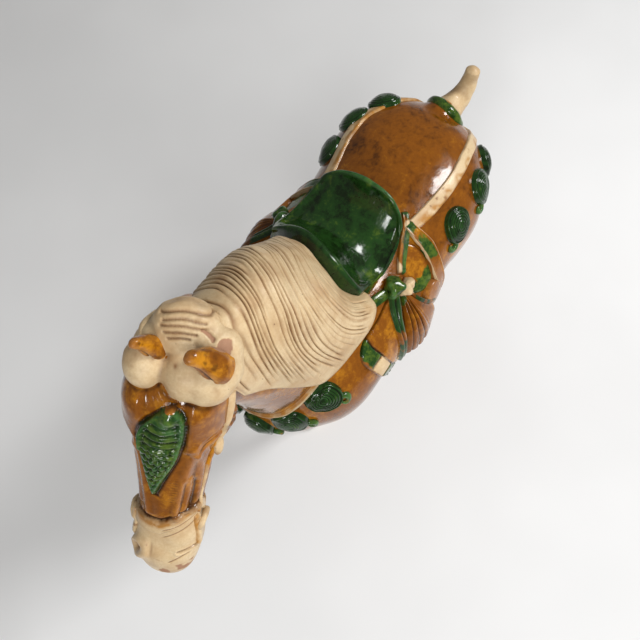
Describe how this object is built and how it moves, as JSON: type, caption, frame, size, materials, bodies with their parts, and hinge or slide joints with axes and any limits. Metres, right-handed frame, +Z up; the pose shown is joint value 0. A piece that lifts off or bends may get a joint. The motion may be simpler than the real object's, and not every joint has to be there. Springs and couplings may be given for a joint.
{
  "type": "glazed earthenware horse figure",
  "caption": "Glazed earthenware horse standing on a low plinth, with combed mane, saddle, tied saddle cloth, harness straps and medallions.",
  "frame": {"origin": "on the flat underside of the plinth, on the middle line, below the front of the saddle", "axes": "+X forward toward the horse's chest and head, +Y to the horse's left, +Z up"},
  "size_m": [0.3735, 0.1404, 0.3589],
  "materials": {
    "glaze": "gloss"
  },
  "bodies": {
    "root": {"horse": "glaze"}
  },
  "joints": []
}
